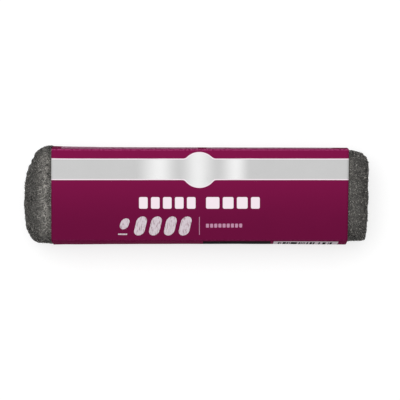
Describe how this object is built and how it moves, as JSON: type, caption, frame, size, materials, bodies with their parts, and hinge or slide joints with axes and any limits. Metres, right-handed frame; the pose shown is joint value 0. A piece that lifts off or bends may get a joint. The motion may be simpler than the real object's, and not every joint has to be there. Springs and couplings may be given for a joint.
{
  "type": "steel wool pad",
  "caption": "Flattened roll of steel wool with bare, rounded ends, held by a wide folded paper sleeve that is glued along its back.",
  "frame": {"origin": "middle of the footprint, on the outer face of the glued flap at the back, which the pad rests on", "axes": "+X along the roll, to the right as the front is read; +Y to the upper long side; +Z out of the printed front"},
  "size_m": [0.1986, 0.0576, 0.0424],
  "materials": {
    "steel_wool": "matte",
    "printed_paper": "satin"
  },
  "bodies": {
    "root": {"steel_wool_roll": "steel_wool", "paper_sleeve": "printed_paper"}
  },
  "joints": []
}
